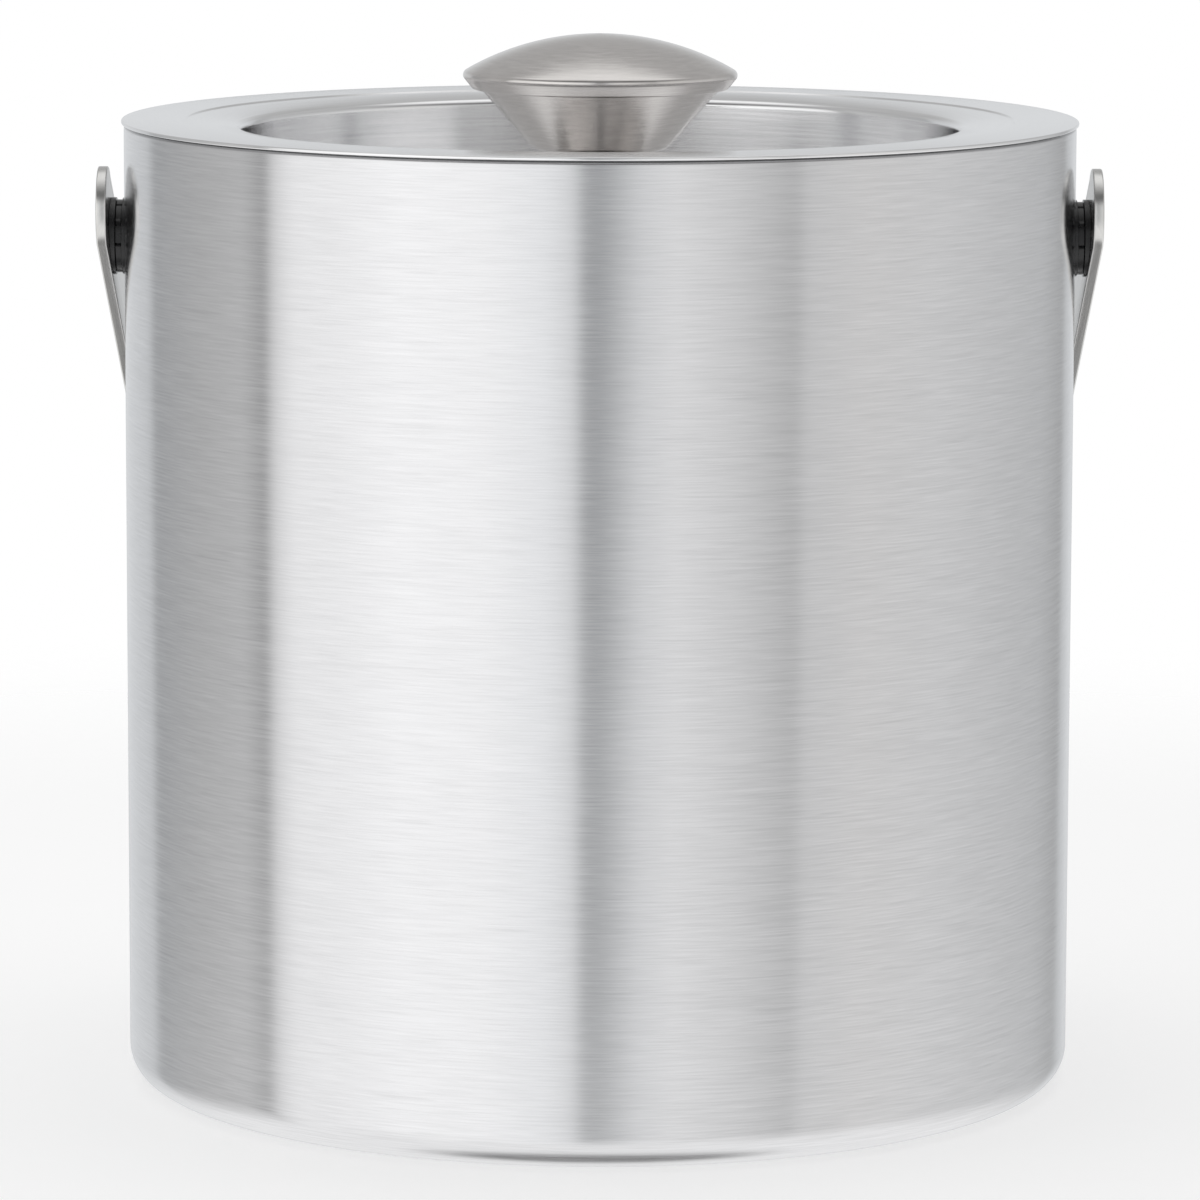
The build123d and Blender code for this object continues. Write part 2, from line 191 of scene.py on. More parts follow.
class Wiring:
    """Adds the nodes of one tree and joins them as it goes."""

    def __init__(self, tree: bpy.types.NodeTree) -> None:
        """Takes the tree to fill."""
        self.tree = tree

    def add(self, kind: str, *feeds: object, **settings: object) -> bpy.types.Node:
        """Adds a node.

        Args:
            kind: The node's type.
            feeds: What goes into its enabled sockets in order: another node's output, a value, or
                None to leave the socket alone.
            settings: The node's own properties.

        Returns:
            The new node.
        """
        node = self.tree.nodes.new(kind)
        for name, value in settings.items():
            setattr(node, name, value)
        sockets = [socket for socket in node.inputs if socket.enabled]
        for socket, feed in zip(sockets, feeds):
            if isinstance(feed, bpy.types.NodeSocket):
                self.tree.links.new(feed, socket)
            elif feed is not None:
                socket.default_value = feed
        return node

    def sum(self, operation: str, *feeds: object) -> bpy.types.NodeSocket:
        """Adds a Math node and returns its output."""
        return self.add("ShaderNodeMath", *feeds, operation=operation).outputs[0]

    def vector(self, operation: str, *feeds: object) -> bpy.types.NodeSocket:
        """Adds a Vector Math node and returns its vector output."""
        return self.add("ShaderNodeVectorMath", *feeds, operation=operation).outputs[0]

    def join(self, *feeds: object) -> bpy.types.NodeSocket:
        """Makes a vector of three numbers and returns it."""
        return self.add("ShaderNodeCombineXYZ", *feeds).outputs[0]

    def split(self, vector: bpy.types.NodeSocket) -> list[bpy.types.NodeSocket]:
        """Takes a vector apart and returns its three numbers."""
        return list(self.add("ShaderNodeSeparateXYZ", vector).outputs)

    def length(self, vector: bpy.types.NodeSocket) -> bpy.types.NodeSocket:
        """Measures a vector and returns its length."""
        return self.add("ShaderNodeVectorMath", vector, operation="LENGTH").outputs["Value"]

    def scaled(self, vector: object, factor: object) -> bpy.types.NodeSocket:
        """Multiplies a vector by a number.

        Args:
            vector: The vector, as a value or another node's output.
            factor: The number, as a value or another node's output.

        Returns:
            The longer or shorter vector.
        """
        node = self.add("ShaderNodeVectorMath", vector, operation="SCALE")
        if isinstance(factor, bpy.types.NodeSocket):
            self.tree.links.new(factor, node.inputs["Scale"])
        else:
            node.inputs["Scale"].default_value = factor
        return node.outputs[0]

    def fade(self, place: bpy.types.NodeSocket, fade: Fade) -> bpy.types.NodeSocket:
        """Adds a Map Range node that follows a fade.

        Args:
            place: Where on the fade the value is read.
            fade: The fade.

        Returns:
            The faded value.
        """
        kind = "SMOOTHSTEP" if fade.soft else "LINEAR"
        ends = (fade.start, fade.end, fade.first, fade.last)
        return self.add("ShaderNodeMapRange", place, *ends, interpolation_type=kind).outputs[0]

    def noise(self, place: bpy.types.NodeSocket, **settings: float) -> bpy.types.NodeSocket:
        """Adds soft noise.

        Args:
            place: Where the noise is read.
            settings: Values for the noise's inputs, such as Scale and Detail.

        Returns:
            The noise, mostly between 0.3 and 0.7.
        """
        texture = self.add("ShaderNodeTexNoise", place)
        for name, value in settings.items():
            texture.inputs[name].default_value = value
        return texture.outputs[0]

    def bump(self, height: bpy.types.NodeSocket, strength: float, depth: float) -> bpy.types.NodeSocket:
        """Adds a Bump node.

        Args:
            height: The pattern that stands up from the surface.
            strength: How much of the pattern shows, up to 1.
            depth: The pattern's depth.

        Returns:
            The bumpy surface's normal.
        """
        node = self.add("ShaderNodeBump")
        node.inputs["Strength"].default_value = strength
        node.inputs["Distance"].default_value = depth
        self.tree.links.new(height, node.inputs["Height"])
        return node.outputs[0]


@dataclass(frozen=True)
class NodeTool:
    """A Geometry Nodes tree with named inputs."""

    tree: bpy.types.NodeTree

    @classmethod
    def start(cls, name: str, inputs: dict[str, str]) -> tuple["NodeTool", Wiring, bpy.types.Node]:
        """Starts a tree.

        Args:
            name: The tree's name.
            inputs: Each input's name and socket type, after the geometry that comes first.

        Returns:
            The tool, the wiring of its tree and its input node.
        """
        tree = bpy.data.node_groups.new(name, "GeometryNodeTree")
        tree.interface.new_socket("Geometry", in_out="INPUT", socket_type="NodeSocketGeometry")
        for label, kind in inputs.items():
            tree.interface.new_socket(label, in_out="INPUT", socket_type=kind)
        tree.interface.new_socket("Geometry", in_out="OUTPUT", socket_type="NodeSocketGeometry")
        wiring = Wiring(tree)
        return cls(tree), wiring, wiring.add("NodeGroupInput")

    @staticmethod
    def end(
        wiring: Wiring, geometry: bpy.types.NodeSocket, material: bpy.types.NodeSocket
    ) -> None:
        """Ends a tree: smooth faces, Realize Instances and Set Material.

        Args:
            wiring: The tree's wiring.
            geometry: The finished geometry.
            material: The input that holds the piece's finish.
        """
        smooth = wiring.add("GeometryNodeSetShadeSmooth", geometry)
        real = wiring.add("GeometryNodeRealizeInstances", smooth.outputs[0])
        dressed = wiring.add("GeometryNodeSetMaterial", real.outputs[0], None, material)
        wiring.add("NodeGroupOutput", dressed.outputs[0])

    def run(self, name: str, start: bpy.types.Mesh, values: dict[str, object]) -> bpy.types.Object:
        """Runs the tree on a mesh and keeps the result as a plain mesh.

        Args:
            name: The new piece's name.
            start: The mesh that goes in.
            values: A value for each named input.

        Returns:
            A new object at the origin, with outward faces and no modifier.
        """
        worker = bpy.data.objects.new(name + "_start", start)
        bpy.context.scene.collection.objects.link(worker)
        modifier = worker.modifiers.new("build", "NODES")
        modifier.node_group = self.tree
        for item in self.tree.interface.items_tree:
            if item.in_out == "INPUT" and item.name in values:
                modifier[item.identifier] = values[item.name]
        piece = plain_piece(name, worker)
        bpy.data.objects.remove(worker)
        bpy.data.meshes.remove(start)
        return piece


def plain_piece(name: str, worker: bpy.types.Object) -> bpy.types.Object:
    """Turns an object with modifiers into a plain one.

    Args:
        name: The new object's name.
        worker: The object to evaluate.

    Returns:
        A new object with merged doubles, outward faces and crisp edges.
    """
    depsgraph = bpy.context.evaluated_depsgraph_get()
    mesh = bpy.data.meshes.new_from_object(worker.evaluated_get(depsgraph))
    mesh.name = name
    edit = bmesh.new()
    edit.from_mesh(mesh)
    bmesh.ops.remove_doubles(edit, verts=edit.verts, dist=MERGE_DISTANCE)
    bmesh.ops.recalc_face_normals(edit, faces=edit.faces)
    edit.to_mesh(mesh)
    edit.free()
    mesh.set_sharp_from_angle(angle=SHARP_EDGE)
    piece = bpy.data.objects.new(name, mesh)
    bpy.context.scene.collection.objects.link(piece)
    return piece


def turning_tool() -> NodeTool:
    """Builds the tree that turns an outline round the upright axis.

    Returns:
        The tool. Its inputs are the number of segments, the grooves' number, width, depth and
        first angle, the width of the notch at the first groove, and the material.
    """
    tool, wiring, given = NodeTool.start(
        "turned_on_a_lathe",
        {
            "Segments": "NodeSocketInt",
            "Grooves": "NodeSocketInt",
            "Groove width": "NodeSocketFloat",
            "Notch width": "NodeSocketFloat",
            "Groove depth": "NodeSocketFloat",
            "First groove": "NodeSocketFloat",
            "Material": "NodeSocketMaterial",
        },
    )
    outline, segments = given.outputs["Geometry"], given.outputs["Segments"]
    count = wiring.add("GeometryNodeAttributeDomainSize", outline).outputs["Point Count"]
    columns = wiring.sum("ADD", segments, 1.0)
    grid = wiring.add("GeometryNodeMeshGrid", 1.0, 1.0, columns, count).outputs[0]

    index = wiring.add("GeometryNodeInputIndex").outputs[0]
    column = wiring.sum("FLOOR", wiring.sum("DIVIDE", index, count))
    row = wiring.sum("SUBTRACT", index, wiring.sum("MULTIPLY", column, count))
    angle = wiring.sum("DIVIDE", wiring.sum("MULTIPLY", column, FULL_TURN), segments)

    def sampled(data_type: str, value: bpy.types.NodeSocket) -> bpy.types.NodeSocket:
        """Reads a value at the row's point of the outline."""
        node = wiring.add(
            "GeometryNodeSampleIndex", outline, value, row, data_type=data_type, domain="POINT"
        )
        return next(socket for socket in node.outputs if socket.enabled)

    def marked(name: str) -> bpy.types.NodeSocket:
        """Reads a number that the outline's points carry."""
        node = wiring.add("GeometryNodeInputNamedAttribute", name, data_type="FLOAT")
        return sampled("FLOAT", next(socket for socket in node.outputs if socket.enabled))

    place = sampled("FLOAT_VECTOR", wiring.add("GeometryNodeInputPosition").outputs[0])
    out, _, up = wiring.split(place)

    twelfth = FULL_TURN / 12
    from_flat = wiring.sum("WRAP", angle, twelfth, -twelfth)
    flats = wiring.sum("DIVIDE", out, wiring.sum("COSINE", from_flat))
    hexed = wiring.sum("MULTIPLY", marked("hexed"), wiring.sum("SUBTRACT", flats, out))
    out = wiring.sum("ADD", out, hexed)

    def dip(spread: object, width: bpy.types.NodeSocket) -> bpy.types.NodeSocket:
        """Finds the depth of the nearest groove.

        Args:
            spread: The angle between neighbouring grooves.
            width: The grooves' width.

        Returns:
            The depth, which is zero away from the grooves.
        """
        half = wiring.sum("DIVIDE", spread, 2.0)
        turned = wiring.sum("SUBTRACT", angle, given.outputs["First groove"])
        away = wiring.sum("WRAP", turned, half, wiring.sum("MULTIPLY", half, -1.0))
        distance = wiring.sum("MULTIPLY", wiring.sum("ABSOLUTE", away), out)
        half_width = wiring.sum("DIVIDE", width, 2.0)
        near = wiring.sum("MULTIPLY", half_width, GROOVE_FLOOR)
        far = wiring.sum("MULTIPLY", half_width, 2 - GROOVE_FLOOR)
        return wiring.add(
            "ShaderNodeMapRange", distance, near, far, given.outputs["Groove depth"], 0.0
        ).outputs[0]

    spread = wiring.sum("DIVIDE", FULL_TURN, given.outputs["Grooves"])
    grooves = dip(spread, given.outputs["Groove width"])
    notch = dip(FULL_TURN, given.outputs["Notch width"])
    depth = wiring.sum("MULTIPLY", marked("grooved"), wiring.sum("MAXIMUM", grooves, notch))
    out = wiring.sum("SUBTRACT", out, depth)

    across = wiring.sum("MULTIPLY", out, wiring.sum("COSINE", angle))
    deep = wiring.sum("MULTIPLY", out, wiring.sum("SINE", angle))
    shaped = wiring.add("GeometryNodeSetPosition", grid, None, wiring.join(across, deep, up))
    closed = wiring.add("GeometryNodeMergeByDistance", shaped.outputs[0])
    closed.inputs["Distance"].default_value = MERGE_DISTANCE
    NodeTool.end(wiring, closed.outputs[0], given.outputs["Material"])
    return tool


def bending_tool() -> NodeTool:
    """Builds the tree that bends a flat blank along a path.

    Returns:
        The tool. The blank lies with its length along X, its width along Y and its sheet up Z.
        Its inputs are the path's object, the way across the strap and the material.
    """
    tool, wiring, given = NodeTool.start(
        "bent_along_a_path",
        {
            "Path": "NodeSocketObject",
            "Across": "NodeSocketVector",
            "Material": "NodeSocketMaterial",
        },
    )
    path = wiring.add("GeometryNodeObjectInfo", given.outputs["Path"]).outputs["Geometry"]
    flat = wiring.add("GeometryNodeInputPosition").outputs[0]
    length, width, thickness = wiring.split(flat)
    sample = wiring.add("GeometryNodeSampleCurve", mode="LENGTH")
    wiring.tree.links.new(path, sample.inputs["Curves"])
    wiring.tree.links.new(length, sample.inputs["Length"])
    across = given.outputs["Across"]
    off = wiring.vector("CROSS_PRODUCT", sample.outputs["Tangent"], across)
    offset = wiring.vector("ADD", wiring.scaled(off, thickness), wiring.scaled(across, width))
    place = wiring.vector("ADD", sample.outputs["Position"], offset)
    bent = wiring.add("GeometryNodeSetPosition", given.outputs["Geometry"], None, place)
    NodeTool.end(wiring, bent.outputs[0], given.outputs["Material"])
    return tool


# ------------------------------------------------------------------ finishes
def bare_material(name: str) -> tuple[bpy.types.Material, Wiring]:
    """Starts a material.

    Args:
        name: The material's name.

    Returns:
        The material, which has no nodes yet, and its wiring.
    """
    material = bpy.data.materials.new(name)
    material.use_nodes = True
    material.node_tree.nodes.clear()
    return material, Wiring(material.node_tree)


@dataclass(frozen=True)
class Steel:
    """A stainless steel finish, brushed or satin, with its streaks, wear and faint marks, and painted
    shade where a joint lies in shadow.
    """

    name: str
    tint: tuple[float, float, float]
    roughness: float
    anisotropy: float = 0.0
    grain: Grain = Grain.ROUND
    streaks_round: float = 8.0  # streaks per radian
    streaks_along: float = 90.0  # streaks per metre of length, on a lengthways grain
    streaks_across: float = 3200.0  # streaks per metre across the grain
    roughness_spread: float = 0.08
    shade_spread: float = 0.1
    bump: float = 0.3
    bump_depth: float = 0.02 * MM
    broad_stretch: tuple[float, float, float] = (0.6, 0.6, 0.09)
    broad_share: float = 0.15  # share of the broad streaks, beside the fine ones
    mark_stretch: tuple[float, float, float] = (0.5, 0.5, 0.3)
    marks: Fade = Fade(0.70, 0.78)  # only the peaks of the noise leave a mark
    mark_shade: float = 0.05
    haze_scale: float = 22.0
    haze: float = 0.015  # how far handling changes the roughness
    wear: float = 0.0
    convex: tuple[float, float] = (0.50, 0.58)  # from a flat face to a rubbed edge
    painted_shade_ring: tuple[float, float] | None = None  # distance from the axis and height of a ring of painted shade, standing in for the shadow in the gap under the lid
    painted_shade_fade: Fade = Fade(0.34 * MM, 0.6 * MM, 0.32, 1.0)

    def streak_space(self, wiring: Wiring) -> tuple[object, object]:
        """Finds the coordinates that the streaks follow.

        Args:
            wiring: The material's wiring.

        Returns:
            The place in the streaks' own space, and the direction along the grain or None.
        """
        if self.grain is Grain.LENGTHWAYS:
            along, across, _ = wiring.split(wiring.add("ShaderNodeUVMap").outputs[0])
            long_way = wiring.sum("MULTIPLY", along, self.streaks_along)
            return wiring.join(long_way, 0.0, wiring.sum("MULTIPLY", across, self.streaks_across)), None
        place = wiring.add("ShaderNodeTexCoord").outputs["Object"]
        x, y, z = wiring.split(place)
        flat = wiring.join(x, y, 0.0)
        radial = wiring.vector("NORMALIZE", flat)
        spun = wiring.scaled(radial, self.streaks_round)
        run = wiring.sum("MULTIPLY", wiring.sum("ADD", wiring.length(flat), z), self.streaks_across)
        space = wiring.vector("ADD", spun, wiring.join(0.0, 0.0, run))
        return space, wiring.vector("CROSS_PRODUCT", (0.0, 0.0, 1.0), radial)

    def painted_gap_shade(self, wiring: Wiring) -> bpy.types.NodeSocket:
        """Paints shade on the sheet where it turns into the gap under the next piece, standing in for
        the shadow that falls in that gap.

        Args:
            wiring: The material's wiring.

        Returns:
            A factor for the tint that paints the shade, 1 away from the gap.
        """
        out, up = self.painted_shade_ring
        x, y, z = wiring.split(wiring.add("ShaderNodeTexCoord").outputs["Object"])
        across = wiring.sum("SUBTRACT", wiring.length(wiring.join(x, y, 0.0)), out)
        gap = wiring.join(across, 0.0, wiring.sum("SUBTRACT", z, up))
        return wiring.fade(wiring.length(gap), self.painted_shade_fade)

    def material(self) -> bpy.types.Material:
        """Builds the finish.

        Returns:
            A procedural material.
        """
        material, wiring = bare_material(self.name)
        space, along = self.streak_space(wiring)
        fine = wiring.noise(space, Scale=1.0, Detail=3.0, Roughness=0.65)
        broad_space = wiring.vector("MULTIPLY", space, self.broad_stretch)
        broad = wiring.noise(broad_space, Scale=1.0, Detail=2.0)
        streak = wiring.sum(
            "ADD",
            wiring.sum("MULTIPLY", fine, 1 - self.broad_share),
            wiring.sum("MULTIPLY", broad, self.broad_share),
        )
        mark_space = wiring.vector("MULTIPLY", space, self.mark_stretch)
        mark = wiring.fade(wiring.noise(mark_space, Scale=1.0, Detail=1.0), self.marks)
        place = wiring.add("ShaderNodeTexCoord").outputs["Object"]
        cloud = wiring.noise(place, Scale=self.haze_scale, Detail=2.0)

        low, high = 1.0 - self.shade_spread, 1.0 + self.shade_spread / 2
        shade = wiring.fade(streak, Fade(NOISE_LOW, NOISE_HIGH, low, high))
        shade = wiring.sum("SUBTRACT", shade, wiring.sum("MULTIPLY", mark, self.mark_shade))
        # painted shade: the tint darkens in a ring at the rim's corner, where the gap under the lid
        # would be in shadow
        if self.painted_shade_ring:
            shade = wiring.sum("MULTIPLY", shade, self.painted_gap_shade(wiring))
        if self.wear:
            edge = wiring.add("ShaderNodeNewGeometry").outputs["Pointiness"]
            shade = wiring.sum("ADD", shade, wiring.fade(edge, Fade(*self.convex, 0.0, self.wear)))
        colour = wiring.scaled(self.tint, shade)

        half = self.roughness_spread / 2
        smooth, dull = self.roughness - half, self.roughness + half
        rough = wiring.fade(streak, Fade(NOISE_LOW, NOISE_HIGH, smooth, dull))
        hazy = wiring.fade(cloud, Fade(NOISE_LOW, NOISE_HIGH, -self.haze, self.haze))

        steel = wiring.add("ShaderNodeBsdfPrincipled")
        steel.inputs["Metallic"].default_value = 1.0
        wiring.tree.links.new(colour, steel.inputs["Base Color"])
        wiring.tree.links.new(wiring.sum("ADD", rough, hazy), steel.inputs["Roughness"])
        bumpy = wiring.bump(streak, self.bump, self.bump_depth)
        wiring.tree.links.new(bumpy, steel.inputs["Normal"])
        if self.anisotropy and along is not None:
            steel.inputs["Anisotropic"].default_value = self.anisotropy
            steel.inputs["Anisotropic Rotation"].default_value = ACROSS_THE_GRAIN
            wiring.tree.links.new(along, steel.inputs["Tangent"])
        wiring.add("ShaderNodeOutputMaterial", steel.outputs[0])
        return material


@dataclass(frozen=True)
class Plastic:
    """Moulded plastic, glossy, with the faint unevenness of a moulded face."""

    name: str
    tint: tuple[float, float, float]
    roughness: float
    roughness_spread: float = 0.15
    grain_scale: float = 1800.0
    flow_scale: float = 260.0
    shades: tuple[float, float] = (0.8, 1.25)
    bump: float = 0.3
    bump_depth: float = 0.03 * MM

    def material(self) -> bpy.types.Material:
        """Builds the finish.

        Returns:
            A procedural material.
        """
        material, wiring = bare_material(self.name)
        place = wiring.add("ShaderNodeTexCoord").outputs["Object"]
        grain = wiring.noise(place, Scale=self.grain_scale, Detail=3.0)
        flow = wiring.noise(place, Scale=self.flow_scale)
        dull = self.roughness + self.roughness_spread
        rough = wiring.fade(flow, Fade(NOISE_LOW, NOISE_HIGH, self.roughness, dull))
        shade = wiring.fade(grain, Fade(NOISE_LOW, NOISE_HIGH, *self.shades))
        plastic = wiring.add("ShaderNodeBsdfPrincipled")
        plastic.inputs["Specular IOR Level"].default_value = 0.5
        wiring.tree.links.new(wiring.scaled(self.tint, shade), plastic.inputs["Base Color"])
        wiring.tree.links.new(rough, plastic.inputs["Roughness"])
        bumpy = wiring.bump(grain, self.bump, self.bump_depth)
        wiring.tree.links.new(bumpy, plastic.inputs["Normal"])
        wiring.add("ShaderNodeOutputMaterial", plastic.outputs[0])
        return material


@dataclass(frozen=True)
class Finishes:
    """Every finish of the bucket, ready to dress a piece."""

    shell: bpy.types.Material
    liner: bpy.types.Material
    lid: bpy.types.Material
    knob: bpy.types.Material
    strap: bpy.types.Material
    fastener: bpy.types.Material
    plastic: bpy.types.Material

    @classmethod
    def mixed(cls) -> "Finishes":
        """Builds the materials and returns them together."""
        return cls(
            shell=Steel(
                "brushed_steel_shell", (0.80, 0.80, 0.81), roughness=0.19, anisotropy=0.9,
                # painted shade: a dark ring at the rim's corner, standing in for the shadow in the gap
                # under the lid
                painted_shade_ring=(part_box("outer_shell")[1].x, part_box("outer_shell")[1].z),
            ).material(),
            liner=Steel(
                "satin_steel_liner", (0.74, 0.74, 0.75), roughness=0.30, anisotropy=0.6,
                streaks_round=5.0, bump=0.2,
            ).material(),
            lid=Steel(
                "brushed_steel_lid", (0.90, 0.90, 0.906), roughness=0.15, anisotropy=0.6,
                streaks_round=3.0, streaks_across=2400.0, roughness_spread=0.06, shade_spread=0.08,
                bump=0.35,
            ).material(),
            knob=Steel(
                "satin_steel_knob", (0.73, 0.705, 0.685), roughness=0.18, anisotropy=0.6,
                streaks_round=4.0,
            ).material(),
            strap=Steel(
                "satin_steel_strap", (0.70, 0.695, 0.68), roughness=0.24,
                grain=Grain.LENGTHWAYS, wear=0.15,
            ).material(),
            fastener=Steel(
                "bright_steel_fastener", (0.72, 0.72, 0.72), roughness=0.22, bump=0.1, wear=0.1
            ).material(),
            plastic=Plastic("black_plastic", (0.012, 0.012, 0.013), roughness=0.16).material(),
        )


# ------------------------------------------------------------------ the shop
class Workshop:
    """The two tools, the finishes, and the making of a finished piece."""

    def __init__(self) -> None:
        """Sets up the tools and mixes the finishes."""
        self.lathe = turning_tool()
        self.bender = bending_tool()
        self.finishes = Finishes.mixed()

    def turn(self, name: str, section: list[Spot], material: bpy.types.Material,
             segments: int, **grooves: object) -> bpy.types.Object:
        """Turns a section round the upright axis.

        Args:
            name: The piece's name.
            section: The section's points.
            material: The piece's finish.
            segments: How many faces go round.
            grooves: The groove inputs of the lathe, by name with spaces as underscores.

        Returns:
            The turned piece.
        """
        outline = bpy.data.meshes.new(name + "_outline")
        outline.from_pydata([(spot.place.x, 0.0, spot.place.y) for spot in section], [], [])
        for mark in ("hexed", "grooved"):
            values = outline.attributes.new(mark, "FLOAT", "POINT").data
            for value, spot in zip(values, section):
                value.value = getattr(spot, mark)
        values = {"Segments": segments, "Material": material, "Grooves": 1}
        values |= {key.replace("_", " "): value for key, value in grooves.items()}
        return self.lathe.run(name, outline, values)

    def hand_over(self, piece: bpy.types.Object, node: str, body: str, slot: str) -> None:
        """Puts a piece in its node's place.

        Args:
            piece: The finished piece.
            node: The CAD node that it stands for.
            body: The body that it rides on.
            slot: The record's material slot; not used.
        """
        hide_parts(node)
        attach(piece, body)
        log.info("%s rides on %s, %d faces", piece.name, body, len(piece.data.polygons))

    def dress(self, node: str, material: bpy.types.Material) -> None:
        """Gives a node that keeps its own mesh its finish.

        Args:
            node: The CAD node.
            material: Its finish.
        """
        piece = frame["nodes"][node]
        if not piece.material_slots:
            piece.data.materials.append(material)
        for slot in piece.material_slots:
            slot.material = material
        log.info("%s keeps its own shape, in %s", node, material.name)


# ------------------------------------------------------------------ bucket
@dataclass
class Bucket:
    """The double-walled bucket: outer shell, inner liner, and the fixed half of each pivot."""

    shop: Workshop
    sheet: float = 0.6 * MM
    base_corner: float = 5.4 * MM
    rim_corner: float = 0.8 * MM
    rim_flange: float = 3.1 * MM
    panel_radius: float = 58.0 * MM
    panel_rise: float = 1.0 * MM
    panel_slope: float = 4.0 * MM
    panel_bend: float = 3.0 * MM
    liner_corner: float = 9.0 * MM
    liner_mouth: float = 1.4 * MM
    wall_gap: float = 4.8 * MM
    flange_thickness: float = 0.35 * MM
    spacer_radius: float = 5.75 * MM
    spacer_bore: float = 2.2 * MM
    spacer_edge: float = 0.12 * MM
    grooves: int = 10
    groove_width: float = 0.3 * MM
    groove_depth: float = 0.3 * MM
    notch_width: float = 0.9 * MM
    notch_above_level: float = 27.0
    body_segments: int = 288
    small_segments: int = 240

    def __post_init__(self) -> None:
        """Reads the bucket's overall sizes from the frame."""
        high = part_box("outer_shell")[1]
        self.radius, self.rim = high.x, high.z
        self.liner_low, self.liner_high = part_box("inner_liner")
        self.liner_inner = self.radius - 2 * self.sheet - self.wall_gap

    def shell(self) -> None:
        """Turns the outer shell, from the pressed base to the in-turned rim."""
        corners = [
            Corner(0.0, self.panel_rise),
            Corner(self.panel_radius, self.panel_rise, self.panel_bend),
            Corner(self.panel_radius + self.panel_slope, 0.0, self.panel_bend),
            Corner(self.radius, 0.0, self.base_corner),
            Corner(self.radius, self.rim, self.rim_corner),
            Corner(self.radius - self.rim_flange, self.rim),
        ]
        section = sheet_section(corners, self.sheet)
        piece = self.shop.turn("shell", section, self.shop.finishes.shell, self.body_segments)
        self.shop.hand_over(piece, "outer_shell", "bucket", "brushed_shell")

    def liner(self) -> None:
        """Turns the inner liner, whose flange lies under the shell's."""
        floor = self.liner_low.z + self.sheet
        top = self.liner_high.z
        corners = [
            Corner(0.0, floor),
            Corner(self.liner_inner, floor, self.liner_corner),
            Corner(self.liner_inner, top, self.liner_mouth),
            Corner(self.liner_high.x, top),
        ]
        section = sheet_section(corners, -self.sheet)
        piece = self.shop.turn("liner", section, self.shop.finishes.liner, self.body_segments)
        self.shop.hand_over(piece, "inner_liner", "bucket", "satin_liner")

    def spacer(self, side: Side) -> None:
        """Turns the grooved spacer that stands between the shell and the strap.

        Args:
            side: Which end of the pivots.
        """
        node = f"pivot_spacer_{side.name.lower()}"
        low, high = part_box(node)
        near, far = sorted((abs(low.x), abs(high.x)))
        flange_end = self.radius + self.flange_thickness
        edge = self.spacer_edge
        corners = [
            Corner(self.spacer_bore, near),
            Corner(high.y, near),
            Corner(high.y, flange_end, edge),
            Corner(self.spacer_radius, flange_end),
            Corner(self.spacer_radius, flange_end + edge, grooved=1.0),
            Corner(self.spacer_radius, far - edge, grooved=1.0),
            Corner(self.spacer_radius - edge, far, grooved=1.0),
            Corner(self.spacer_bore, far),
            Corner(self.spacer_bore, near),
        ]
        piece = self.shop.turn(
            f"spacer_{side.name.lower()}", rounded(corners), self.shop.finishes.plastic,
            self.small_segments, Grooves=self.grooves, Groove_width=self.groove_width,
            Notch_width=self.notch_width, Groove_depth=self.groove_depth,
            First_groove=math.radians(self.notch_above_level),
        )
        piece.data.transform(pivot_place(side))
        tidy_faces(piece)
        self.shop.hand_over(piece, node, "bucket", "black_plastic")

    def screw(self, side: Side) -> None:
        """Turns the shoulder screw, with its domed head and hexagon socket.

        Args:
            side: Which end of the pivots.
        """
        node = f"pivot_screw_{side.name.lower()}"
        low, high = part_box(node)
        inner_end, outer_end = sorted((abs(low.x), abs(high.x)))
        screw = PivotScrew(inner_end, outer_end, high.y)
        piece = self.shop.turn(
            f"screw_{side.name.lower()}", rounded(screw.corners()), self.shop.finishes.fastener,
            SCREW_SEGMENTS,
        )
        piece.data.transform(pivot_place(side))
        tidy_faces(piece)
        self.shop.hand_over(piece, node, "bucket", "bright_fasteners")

    def build(self) -> None:
        """Builds the whole bucket."""
        self.shell()
        self.liner()
        for side in Side:
            self.spacer(side)
            self.screw(side)
            self.shop.dress(f"nut_plate_{side.name.lower()}", self.shop.finishes.fastener)


